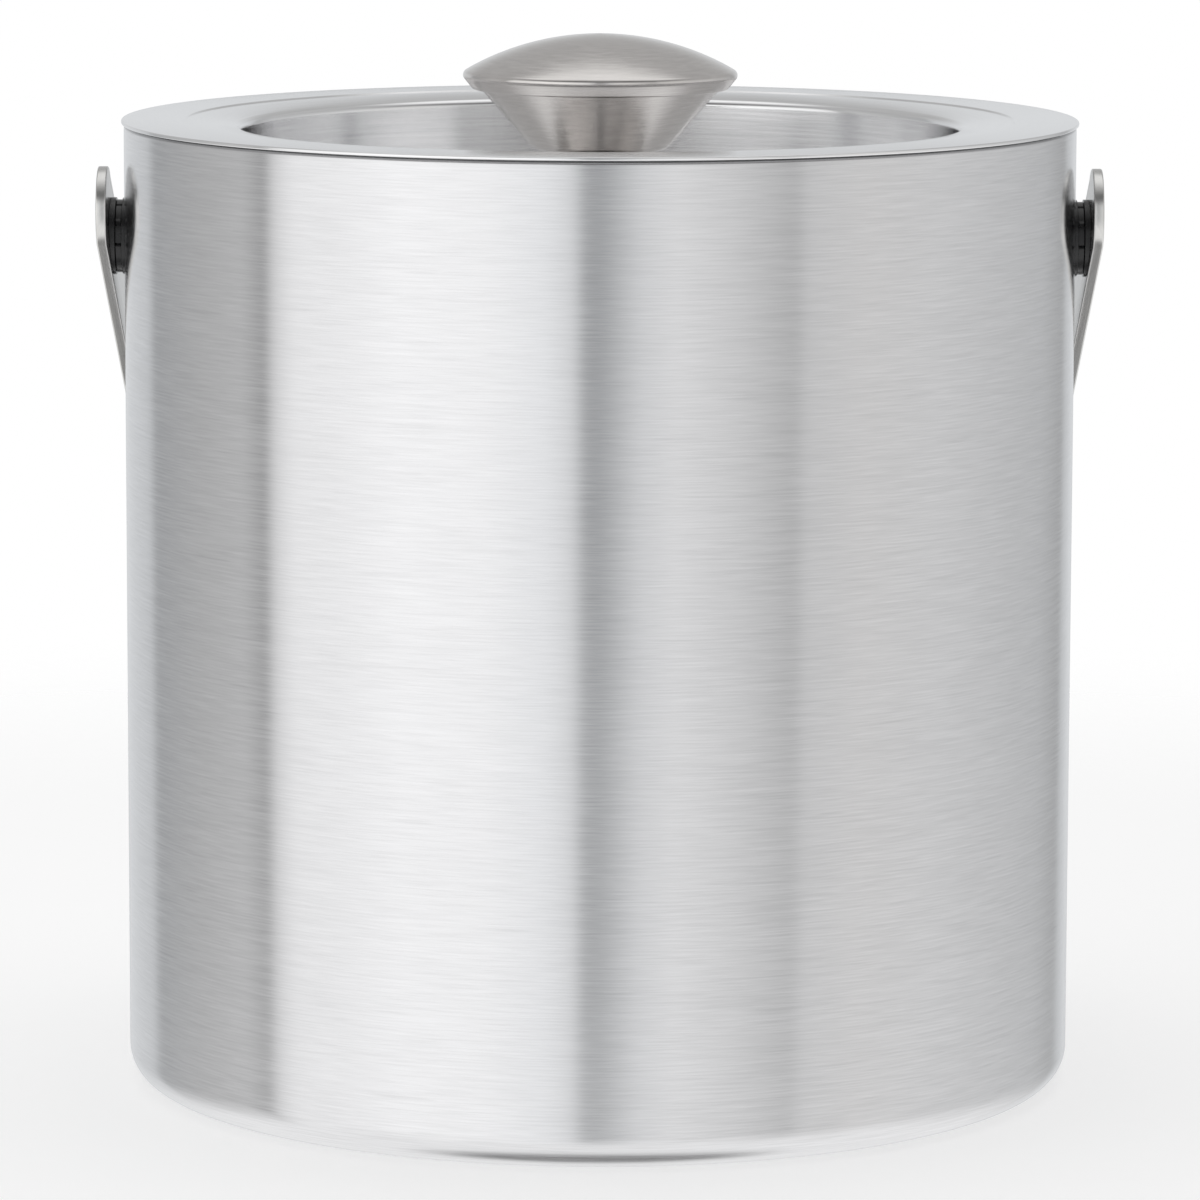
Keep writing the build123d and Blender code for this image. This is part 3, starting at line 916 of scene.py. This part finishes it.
@dataclass(frozen=True)
class PivotScrew:
    """The outline of a pivot screw, from its thread's end to its head."""

    thread_end: float
    head_top: float
    head_radius: float
    thread_radius: float = 2.0 * MM
    shoulder_radius: float = 3.0 * MM
    head_dome: float = 0.3 * MM
    head_thickness: float = 0.55 * MM
    shoulder_length: float = 1.44 * MM
    socket_half: float = 1.5 * MM
    socket_depth: float = 1.2 * MM
    socket_land: float = 1.22  # the crown's inner edge, as a share of the socket's half width
    edge: float = 0.12 * MM
    crown_shares: tuple[float, ...] = (0.0, 0.25, 0.5, 0.75, 0.93)

    def corners(self) -> list[Corner]:
        """Draws the screw's outline.

        Returns:
            Its corners, from the bottom of the socket round to the thread's end.
        """
        head_face = self.head_top - self.head_dome
        head_under = head_face - self.head_thickness
        shoulder_end = head_under - self.shoulder_length
        floor = self.head_top - self.socket_depth
        reach = self.head_radius
        dome = (reach**2 + self.head_dome**2) / (2 * self.head_dome)
        inner = math.asin(self.socket_half * self.socket_land / dome)
        outer = math.asin(reach / dome)
        sweep = [inner * (1 - share) + outer * share for share in self.crown_shares]
        crown = [
            Corner(dome * math.sin(angle), self.head_top - dome + dome * math.cos(angle))
            for angle in sweep
        ]
        return [
            Corner(0.0, floor - self.edge),
            Corner(self.socket_half - self.edge, floor, hexed=1.0),
            Corner(self.socket_half, floor + self.edge, hexed=1.0),
            Corner(self.socket_half, self.head_top - 2 * self.edge, hexed=1.0),
            *crown,
            Corner(reach, head_face - self.edge),
            Corner(reach, head_under),
            Corner(self.shoulder_radius, head_under),
            Corner(self.shoulder_radius, shoulder_end),
            Corner(self.thread_radius, shoulder_end),
            Corner(self.thread_radius, self.thread_end),
            Corner(0.0, self.thread_end),
        ]


def pivot_height() -> float:
    """The height of the pivots, which the bail's hinge gives."""
    hinge = next(joint for joint in frame["joints"] if joint["type"] == "hinge")
    return hinge["pos_m"][2]


def pivot_place(side: Side) -> Matrix:
    """The turn and move that lay a piece turned upright along the pivots.

    Args:
        side: Which end of the pivots.

    Returns:
        A matrix that turns up into outwards, and the piece's first angle into forwards.
    """
    outwards = Vector((side.value, 0.0, 0.0))
    forwards = Vector((0.0, -1.0, 0.0))
    upwards = Vector((0.0, 0.0, 1.0))
    turn = Matrix((forwards, upwards, outwards)).transposed().to_4x4()
    return Matrix.Translation((0.0, 0.0, pivot_height())) @ turn


def tidy_faces(piece: bpy.types.Object) -> None:
    """Turns a piece's faces outwards after a change of hand.

    Args:
        piece: The piece to put right.
    """
    edit = bmesh.new()
    edit.from_mesh(piece.data)
    bmesh.ops.recalc_face_normals(edit, faces=edit.faces)
    edit.to_mesh(piece.data)
    edit.free()


# ------------------------------------------------------------------ lid
@dataclass
class Lid:
    """The lift-off lid: the pressed upper pan, the lower pan and the knob."""

    shop: Workshop
    sheet: float = 0.55 * MM
    edge_round: float = 0.2 * MM
    ring_width: float = 10.2 * MM
    shoulder_width: float = 8.7 * MM
    shoulder_drop: float = 1.1 * MM
    shoulder_bend: float = 1.3 * MM
    crease_drop: float = 0.18 * MM
    crease_width: float = 0.15 * MM
    crease_round: float = 0.06 * MM
    shoulder_share: float = 0.85  # of the arc, before the bend into the well takes over
    shoulder_steps: int = 8
    well_corner: float = 2.2 * MM
    screw_hole: float = 2.2 * MM
    lower_sheet: float = 0.5 * MM
    lower_corner: float = 4.0 * MM
    lower_bend: float = 0.5 * MM
    skirt_radius: float = 68.4 * MM
    body_segments: int = 288

    def __post_init__(self) -> None:
        """Reads the lid's overall sizes from the frame."""
        low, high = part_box("lid_pan")
        self.radius, self.top, self.underside = high.x, high.z, low.z
        self.floor = self.underside + self.sheet
        self.ring_inner = self.radius - self.ring_width
        self.well_radius = self.ring_inner - self.shoulder_width

    def shoulder(self) -> list[Corner]:
        """Draws the gentle arc between the flat ring and the well.

        Returns:
            Corners without bends, from the ring inwards.
        """
        width, drop = self.shoulder_width, self.shoulder_drop - self.crease_drop
        bow = (width**2 + drop**2) / (2 * drop)
        centre = Vector((self.ring_inner, self.top - self.crease_drop - bow))
        end = math.pi / 2 + math.asin(width / bow) * self.shoulder_share
        return arc(centre, bow, math.pi / 2, end, self.shoulder_steps)

    def upper_pan(self) -> None:
        """Turns the upper pan: well, shoulder, flat ring and its rounded rim."""
        flat_start = self.ring_inner + self.shoulder_bend
        upper = [
            Corner(self.screw_hole, self.floor),
            Corner(self.well_radius, self.floor, self.well_corner),
            Corner(self.well_radius, self.top - self.shoulder_drop, self.shoulder_bend),
            *reversed(self.shoulder()),
            Corner(self.ring_inner + self.crease_width, self.top, self.crease_round),
            Corner(flat_start, self.top),
        ]
        face = rounded(upper)
        back = [Spot(spot.place - spot.left * self.sheet, spot.left) for spot in reversed(face)]
        rim = rounded([
            Corner(flat_start, self.top),
            Corner(self.radius, self.top, self.edge_round),
            Corner(self.radius, self.top - self.sheet, self.edge_round),
            Corner(flat_start, self.top - self.sheet),
        ])
        section = [*face, *rim[1:-1], *back, face[0]]
        piece = self.shop.turn("lid_top", section, self.shop.finishes.lid, self.body_segments)
        self.shop.hand_over(piece, "lid_pan", "lid", "brushed_lid")

    def lower_pan(self) -> None:
        """Turns the lower pan, whose skirt slides into the bucket's mouth."""
        low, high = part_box("lid_liner")
        corners = [
            Corner(0.0, low.z),
            Corner(self.skirt_radius, low.z, self.lower_corner),
            Corner(self.skirt_radius, high.z - self.lower_sheet, self.lower_bend),
            Corner(high.x, high.z - self.lower_sheet),
        ]
        section = sheet_section(corners, self.lower_sheet)
        piece = self.shop.turn("lid_underside", section, self.shop.finishes.liner, self.body_segments)
        self.shop.hand_over(piece, "lid_liner", "lid", "satin_liner")

    def build(self) -> None:
        """Builds the whole lid."""
        self.upper_pan()
        self.lower_pan()
        Knob(self.shop).build()
        for node in ("knob_nut", "knob_washer", "knob_screw"):
            self.shop.dress(node, self.shop.finishes.fastener)


@dataclass
class Knob:
    """The knob: a spun cone and a domed cap on a short collar."""

    shop: Workshop
    foot_radius: float = 10.4 * MM
    foot_bend: float = 2.6 * MM
    bore: float = 2.2 * MM
    cone_sheet: float = 0.6 * MM
    cone_top_radius: float = 18.85 * MM
    cone_flange_bend: float = 0.3 * MM
    cap_sheet: float = 0.5 * MM
    cap_corner_radius: float = 22.1 * MM
    cap_edge: float = 0.9 * MM
    dome_radius: float = 42.5 * MM
    lip_radius: float = 20.1 * MM
    lip_bend: float = 0.75 * MM
    lip_to_cone: float = 0.12 * MM
    flange_to_cap: float = 0.15 * MM
    collar_edge: float = 0.4 * MM
    dome_share: float = 0.95  # of the dome's arc, before the rounded edge takes over
    dome_steps: int = 20
    segments: int = 192

    def __post_init__(self) -> None:
        """Reads the knob's heights from the frame and works out where cap and cone meet."""
        self.collar_low, self.collar_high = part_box("knob_collar")
        low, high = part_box("knob_cap")
        self.foot, self.lip, self.top = self.collar_high.z, low.z, high.z
        self.lip_top = self.lip + self.cap_sheet
        slope = (self.cone_top_radius - self.foot_radius) / (self.lip - self.foot)
        self.cone_at_lip_top = self.cone_top_radius + slope * self.cap_sheet
        self.dome_middle = self.top - self.dome_radius
        rise = math.sqrt(self.dome_radius**2 - self.cap_corner_radius**2)
        self.cap_corner = self.dome_middle + rise

    def collar(self) -> None:
        """Turns the collar that lifts the knob off the well's floor."""
        corners = [
            Corner(self.bore, self.collar_low.z),
            Corner(self.collar_high.x, self.collar_low.z),
            Corner(self.collar_high.x, self.collar_high.z, self.collar_edge),
            Corner(self.bore, self.collar_high.z),
            Corner(self.bore, self.collar_low.z),
        ]
        piece = self.shop.turn("collar", rounded(corners), self.shop.finishes.knob, self.segments)
        self.shop.hand_over(piece, "knob_collar", "lid", "satin_knob")

    def cone(self) -> None:
        """Turns the cone, with the flange that the cap's lip holds."""
        slope = (self.cap_corner_radius - self.lip_radius) / (self.cap_corner - self.lip)
        inside = self.lip_radius + self.cap_sheet * (slope - math.hypot(1, slope))
        corners = [
            Corner(self.bore, self.foot),
            Corner(self.foot_radius, self.foot, self.foot_bend),
            Corner(self.cone_at_lip_top, self.lip_top, self.cone_flange_bend),
            Corner(inside - self.flange_to_cap, self.lip_top),
        ]
        section = sheet_section(corners, self.cone_sheet)
        piece = self.shop.turn("knob_base", section, self.shop.finishes.knob, self.segments)
        self.shop.hand_over(piece, "knob_cone", "lid", "satin_knob")

    def cap(self) -> None:
        """Turns the domed cap, with its rounded edge and turned-in lip."""
        sweep = math.asin(self.cap_corner_radius / self.dome_radius)
        middle = Vector((0.0, self.dome_middle))
        end = math.pi / 2 - sweep * self.dome_share
        dome = arc(middle, self.dome_radius, math.pi / 2, end, self.dome_steps)
        corners = [
            *dome,
            Corner(self.cap_corner_radius, self.cap_corner, self.cap_edge),
            Corner(self.lip_radius, self.lip, self.lip_bend),
            Corner(self.cone_at_lip_top + self.lip_to_cone, self.lip),
        ]
        section = sheet_section(corners, -self.cap_sheet)
        piece = self.shop.turn("knob_dome", section, self.shop.finishes.knob, self.segments)
        self.shop.hand_over(piece, "knob_cap", "lid", "satin_knob")

    def build(self) -> None:
        """Builds the knob."""
        self.collar()
        self.cone()
        self.cap()


# ------------------------------------------------------------------ bail
@dataclass
class Bail:
    """The swinging handle: a bent strap with rounded ends, and a taper washer at each pivot."""

    shop: Workshop
    width: float = 14.0 * MM
    sheet: float = 1.6 * MM
    edge_round: float = 0.25 * MM
    lean: float = math.radians(46.0)
    toe_in: float = math.radians(3.7)
    rest_gap: float = 0.3 * MM
    pad_offset: float = 6.3 * MM
    arm_bend: float = 3.0 * MM
    bore_radius: float = 3.05 * MM
    recess_radius: float = 4.3 * MM
    under_head: float = 0.8 * MM
    washer_edge: float = 0.15 * MM
    rows: int = 6
    edge_steps: int = 4
    arch_steps: int = 160
    end_steps: int = 24
    washer_segments: int = 192

    def __post_init__(self) -> None:
        """Works out the path of the strap's inner face from the frame."""
        self.pivot = pivot_height()
        self.half = self.width / 2
        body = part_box("outer_shell")[1].x
        self.rise = (body + self.rest_gap + self.half * math.cos(self.lean)) / math.sin(self.lean)
        self.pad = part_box("bail_handle")[1].x - self.sheet
        self.at_pivot = self.pad - self.pad_offset * math.tan(self.toe_in)
        arm_line = self.at_pivot * math.cos(self.toe_in)
        sine = math.sin(self.toe_in)
        self.arch_radius = (arm_line - self.rise * sine) / (1 - sine)
        self.arch_middle = self.rise - self.arch_radius
        self.across = Vector((0.0, math.cos(self.lean), math.sin(self.lean)))

    def in_place(self, out: float, down_arm: float) -> Vector:
        """Puts a point of the bail's own plane into the bucket's frame, at rest.

        Args:
            out: The point's distance across the bucket.
            down_arm: Its distance from the pivots, down the arms.

        Returns:
            The point.
        """
        return Vector((
            out,
            down_arm * math.sin(self.lean),
            self.pivot - down_arm * math.cos(self.lean),
        ))

    def inner_path(self) -> list[Vector]:
        """The strap's inner face, from the right end round the arch to the left end.

        Returns:
            Points in the bail's own plane: across the bucket, and down the arms.
        """
        end = -self.pad_offset - self.half
        arch = arc(
            Vector((0.0, self.arch_middle)),
            self.arch_radius,
            self.toe_in,
            math.pi / 2,
            self.arch_steps // 2,
        )
        half = rounded([
            Corner(self.pad, end),
            Corner(self.pad, -self.pad_offset, self.arm_bend),
            *arch,
            Corner(0.0, self.rise),
        ])
        right = [spot.place for spot in half]
        return [*right, *[Vector((-place.x, place.y)) for place in reversed(right[:-1])]]

    def path_curve(self, places: list[Vector]) -> bpy.types.Object:
        """Makes a curve object of the path.

        Args:
            places: The path's points, in the bail's own plane.

        Returns:
            The curve, which the bending tool follows.
        """
        data = bpy.data.curves.new("strap_path", "CURVE")
        data.dimensions = "3D"
        spline = data.splines.new("POLY")
        spline.points.add(len(places) - 1)
        for point, place in zip(spline.points, places):
            point.co = (*self.in_place(place.x, place.y), 1.0)
        curve = bpy.data.objects.new("strap_path", data)
        bpy.context.scene.collection.objects.link(curve)
        return curve

    def blank(self, stations: list[float]) -> bpy.types.Mesh:
        """Makes the flat blank: a strip with round ends and softened edges.

        Args:
            stations: Where along the path the blank has a column between its round ends.

        Returns:
            A mesh with its length along X, its width along Y and its sheet up Z, whose UV map
            holds the same length and width.
        """
        total = stations[-1]
        quarter = [math.pi / 2 * step / self.end_steps for step in range(self.end_steps + 1)]
        columns = [(self.half, angle, -1) for angle in quarter]
        columns += [(place, math.pi / 2, 0) for place in stations
                    if self.half < place < total - self.half]
        columns += [(total - self.half, angle, 1) for angle in reversed(quarter)]
        turns = [math.pi / 2 * step / self.edge_steps for step in range(self.edge_steps + 1)]
        inner = self.half - self.edge_round
        loop = [(2 * row / self.rows - 1, inner, self.sheet) for row in range(1, self.rows)]
        edge = [(inner + self.edge_round * math.sin(turn),
                 self.sheet - self.edge_round * (1 - math.cos(turn))) for turn in turns]
        edge += [(reach, self.sheet - height) for reach, height in reversed(edge)]
        loop += [(1.0, reach, height) for reach, height in edge]
        loop += [(1 - 2 * row / self.rows, inner, 0.0) for row in range(1, self.rows)]
        loop += [(-1.0, reach, height) for reach, height in reversed(edge)]
        points = []
        for centre, angle, way in columns:
            for share, reach, height in loop:
                along = centre + way * reach * math.cos(angle)
                points.append((along, share * reach * math.sin(angle), height))
        size = len(loop)
        faces = [
            (column * size + row, column * size + (row + 1) % size,
             (column + 1) * size + (row + 1) % size, (column + 1) * size + row)
            for column in range(len(columns) - 1) for row in range(size)
        ]
        mesh = bpy.data.meshes.new("strap_blank")
        mesh.from_pydata(points, [], faces)
        layer = mesh.uv_layers.new(name="UVMap")
        for corner, loop_corner in zip(layer.data, mesh.loops):
            x, y, z = mesh.vertices[loop_corner.vertex_index].co
            corner.uv = (x, y + z)
        return mesh

    def cutter(self, side: Side) -> bpy.types.Object:
        """Turns the solid that cuts the pivot's bore and the recess for the screw's head.

        Args:
            side: Which end of the pivots.

        Returns:
            The solid, which reaches past both faces of the strap.
        """
        seat = self.at_pivot + self.under_head
        clear = self.at_pivot + 3 * self.sheet
        corners = [
            Corner(0.0, self.at_pivot - self.sheet),
            Corner(self.bore_radius, self.at_pivot - self.sheet),
            Corner(self.bore_radius, seat),
            Corner(self.recess_radius, seat),
            Corner(self.recess_radius, clear),
            Corner(0.0, clear),
        ]
        piece = self.shop.turn(
            "cutter", rounded(corners), self.shop.finishes.fastener, SCREW_SEGMENTS
        )
        piece.data.transform(pivot_place(side))
        tidy_faces(piece)
        return piece

    def strap(self) -> None:
        """Bends the blank along its path and cuts the bore and recess at each end."""
        places = self.inner_path()
        lengths = [0.0]
        for before, after in zip(places, places[1:]):
            lengths.append(lengths[-1] + (after - before).length)
        curve = self.path_curve(places)
        bent = self.shop.bender.run(
            "bent_strap",
            self.blank(lengths),
            {"Path": curve, "Across": self.across, "Material": self.shop.finishes.strap},
        )
        cutters = [self.cutter(side) for side in Side]
        for cutter in cutters:
            cut = bent.modifiers.new("bore", "BOOLEAN")
            cut.operation, cut.object, cut.solver = "DIFFERENCE", cutter, "EXACT"
        piece = plain_piece("strap", bent)
        for spare in (curve, bent, *cutters):
            bpy.data.objects.remove(spare)
        self.shop.hand_over(piece, "bail_handle", "bail", "satin_strap")

    def washer(self, side: Side) -> None:
        """Turns a washer and tapers it, so that it fills the space under the toed-in arm.

        Args:
            side: Which end of the pivots.
        """
        node = f"taper_washer_{side.name.lower()}"
        low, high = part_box(node)
        seat = min(abs(low.x), abs(high.x))
        radius = (high.z - low.z) / 2
        edge = self.washer_edge / 2
        corners = [
            Corner(self.bore_radius, seat),
            Corner(radius, seat),
            Corner(radius, seat + edge),
            Corner(radius, self.at_pivot - edge),
            Corner(radius - edge, self.at_pivot),
            Corner(self.bore_radius, self.at_pivot),
            Corner(self.bore_radius, seat),
        ]
        piece = self.shop.turn(
            f"washer_{side.name.lower()}", rounded(corners), self.shop.finishes.plastic,
            self.washer_segments,
        )
        piece.data.transform(pivot_place(side))
        down_arm = self.in_place(0.0, 1.0) - self.in_place(0.0, 0.0)
        middle = (seat + self.at_pivot) / 2
        for vertex in piece.data.vertices:
            if abs(vertex.co.x) > middle:
                arm_place = (vertex.co - Vector((0.0, 0.0, self.pivot))).dot(down_arm)
                vertex.co.x -= side.value * arm_place * math.tan(self.toe_in)
        tidy_faces(piece)
        self.shop.hand_over(piece, node, "bail", "black_plastic")

    def build(self) -> None:
        """Builds the whole bail."""
        self.strap()
        for side in Side:
            self.washer(side)


# ------------------------------------------------------------------ studio
@dataclass(frozen=True)
class Zone:
    """A stretch of the studio's wall, from a heading in degrees, with its shade and warmth."""

    heading: float
    shade: float
    warmth: float = 0.0

    def position(self) -> float:
        """The zone's place on the colour ramp, which runs from behind to behind."""
        return self.heading / 360 + 0.5

    def colour(self) -> tuple[float, float, float, float]:
        """The zone's colour, warmer or cooler than grey."""
        warm, cool = self.shade * (1 + self.warmth), self.shade * (1 - self.warmth)
        return warm, self.shade, cool, 1.0


@dataclass
class Studio:
    """Plain pale floor, soft studio light and the camera."""

    floor_radius: float = 0.5
    floor_segments: int = 96
    floor_shade: float = 0.85
    floor_glow: float = 0.45
    floor_fade: Fade = Fade(0.25, 0.475, 1.0, 0.0, soft=True)
    strength: float = 1.25
    ceiling_start: Fade = Fade(-0.3, 0.6, 0.34, 0.03)  # its lowest height, from front to back
    ceiling: Fade = Fade(0.0, 0.40, soft=True)
    lamp: Fade = Fade(0.80, 1.10, 0.38, 0.80, soft=True)
    front: Fade = Fade(-0.5, 0.1, 0.3, 1.0)  # the ceiling is darker over the camera
    table: Fade = Fade(-0.14, -0.75, soft=True)
    below: Fade = Fade(-1.1, -1.35, 0.80, 0.22, soft=True)
    camera_place: tuple[float, float, float] = (0.0, -1.0939, 0.23647)
    camera_pitch: float = math.radians(8.336)
    camera_roll: float = math.radians(-0.152)
    camera_lens: float = 208.16
    camera_shift: float = 0.0009
    camera_reach: tuple[float, float] = (0.05, 50.0)
    walls: tuple[Zone, ...] = (
        Zone(-180, 0.58, -0.02),
        Zone(-157, 0.56, -0.02),
        Zone(-140, 0.52, -0.02),
        Zone(-135, 0.33, -0.02),
        Zone(-110, 0.40),
        Zone(-95, 0.45),
        Zone(-89.5, 0.36),
        Zone(-87.5, 0.28),
        Zone(-84, 0.66),
        Zone(-78, 0.81),
        Zone(-66, 0.84),
        Zone(-48, 0.93),
        Zone(-28, 0.90),
        Zone(-13, 0.80, -0.01),
        Zone(-5.8, 0.66, -0.01),
        Zone(-3.6, 0.32, -0.02),
        Zone(0.5, 0.34, -0.02),
        Zone(9.5, 0.62, -0.01),
        Zone(18, 0.70),
        Zone(33, 0.58),
        Zone(47.5, 0.42),
        Zone(50, 0.54),
        Zone(66, 0.58, 0.01),
        Zone(88, 0.57),
        Zone(134, 0.45, -0.01),
        Zone(150, 0.34, -0.01),
        Zone(154, 0.48, -0.02),
        Zone(163, 0.56, -0.02),
        Zone(180, 0.58, -0.02),
    )

    def world(self) -> None:
        """Builds the soft light: panels round the object, a ceiling and a light tabletop.

        Heights are angles above the horizon. What looks straight at the studio sees plain white.
        """
        world = bpy.data.worlds.new("studio")
        bpy.context.scene.world = world
        world.use_nodes = True
        world.node_tree.nodes.clear()
        wiring = Wiring(world.node_tree)
        way = wiring.add("ShaderNodeTexCoord").outputs["Generated"]
        x, y, z = wiring.split(way)
        heading = wiring.sum("ARCTAN2", x, wiring.sum("MULTIPLY", y, -1.0))
        place = wiring.sum("ADD", wiring.sum("DIVIDE", heading, FULL_TURN), 0.5)
        ramp = wiring.add("ShaderNodeValToRGB", place)
        stops = ramp.color_ramp.elements
        for zone in self.walls[1:-1]:
            stops.new(zone.position())
        for zone, stop in zip(self.walls, stops):
            stop.position = zone.position()
            stop.color = zone.colour()
        height = wiring.sum("ARCSINE", z)
        above = wiring.sum("SUBTRACT", height, wiring.fade(y, self.ceiling_start))
        overhead = wiring.sum(
            "MULTIPLY", wiring.fade(height, self.lamp), wiring.fade(y, self.front)
        )
        upper = self.blend(wiring, wiring.fade(above, self.ceiling), ramp.outputs[0], overhead)
        below = wiring.fade(height, self.below)
        whole = self.blend(wiring, wiring.fade(height, self.table), upper, below)
        studio = wiring.add("ShaderNodeBackground", None, self.strength)
        wiring.tree.links.new(whole, studio.inputs["Color"])
        plain = wiring.add("ShaderNodeBackground", WHITE, 1.0)
        seen = wiring.add("ShaderNodeLightPath").outputs["Is Camera Ray"]
        mixed = wiring.add("ShaderNodeMixShader", seen, studio.outputs[0], plain.outputs[0])
        wiring.add("ShaderNodeOutputWorld", mixed.outputs[0])

    @staticmethod
    def blend(
        wiring: Wiring, share: bpy.types.NodeSocket, first: object, second: object
    ) -> bpy.types.NodeSocket:
        """Blends two colours.

        Args:
            wiring: The world's wiring.
            share: The second colour's share.
            first: The first colour, or a shade.
            second: The second colour, or a shade.

        Returns:
            The blended colour.
        """
        mix = wiring.add("ShaderNodeMix", share, data_type="RGBA")
        sockets = [socket for socket in mix.inputs if socket.enabled]
        wiring.tree.links.new(first, sockets[-2])
        wiring.tree.links.new(second, sockets[-1])
        return next(socket for socket in mix.outputs if socket.enabled)

    def floor(self) -> None:
        """Lays a pale round floor that fades out into the background."""
        mesh = bpy.data.meshes.new("floor")
        edit = bmesh.new()
        bmesh.ops.create_circle(
            edit, cap_ends=True, segments=self.floor_segments, radius=self.floor_radius
        )
        edit.to_mesh(mesh)
        edit.free()
        floor = bpy.data.objects.new("floor", mesh)
        bpy.context.scene.collection.objects.link(floor)
        floor.visible_glossy = False
        material, wiring = bare_material("pale_floor")
        place = wiring.add("ShaderNodeTexCoord").outputs["Object"]
        seen = wiring.fade(wiring.length(place), self.floor_fade)
        matt = wiring.add("ShaderNodeBsdfDiffuse", (*[self.floor_shade] * 3, 1.0))
        glow = wiring.add("ShaderNodeEmission", WHITE, self.floor_glow)
        lit = wiring.add("ShaderNodeAddShader", matt.outputs[0], glow.outputs[0])
        clear = wiring.add("ShaderNodeBsdfTransparent")
        mixed = wiring.add("ShaderNodeMixShader", seen, clear.outputs[0], lit.outputs[0])
        wiring.add("ShaderNodeOutputMaterial", mixed.outputs[0])
        mesh.materials.append(material)

    def camera(self) -> None:
        """Stands the camera in front of the bucket, a little above its rim, looking down."""
        pitch, roll = self.camera_pitch, self.camera_roll
        forward = Vector((0.0, math.cos(pitch), -math.sin(pitch)))
        level = Vector((1.0, 0.0, 0.0))
        down = forward.cross(level)
        right = math.cos(roll) * level + math.sin(roll) * down
        up = math.sin(roll) * level - math.cos(roll) * down
        data = bpy.data.cameras.new("camera")
        data.sensor_width = SENSOR_WIDTH
        data.lens = self.camera_lens
        data.shift_x = self.camera_shift
        data.clip_start, data.clip_end = self.camera_reach
        camera = bpy.data.objects.new("camera", data)
        turn = Matrix((right, up, -forward)).transposed().to_4x4()
        camera.matrix_world = Matrix.Translation(self.camera_place) @ turn
        bpy.context.scene.collection.objects.link(camera)
        bpy.context.scene.camera = camera

    def build(self) -> None:
        """Sets up the studio."""
        self.world()
        self.floor()
        self.camera()
        bpy.context.scene.view_settings.view_transform = "Standard"


def main() -> None:
    """Builds the studio and the ice bucket."""
    logging.basicConfig(level=logging.INFO, format="%(name)s: %(message)s")
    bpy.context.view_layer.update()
    Studio().build()
    shop = Workshop()
    for assembly in (Bucket(shop), Lid(shop), Bail(shop)):
        assembly.build()


if __name__ == "__main__":
    main()
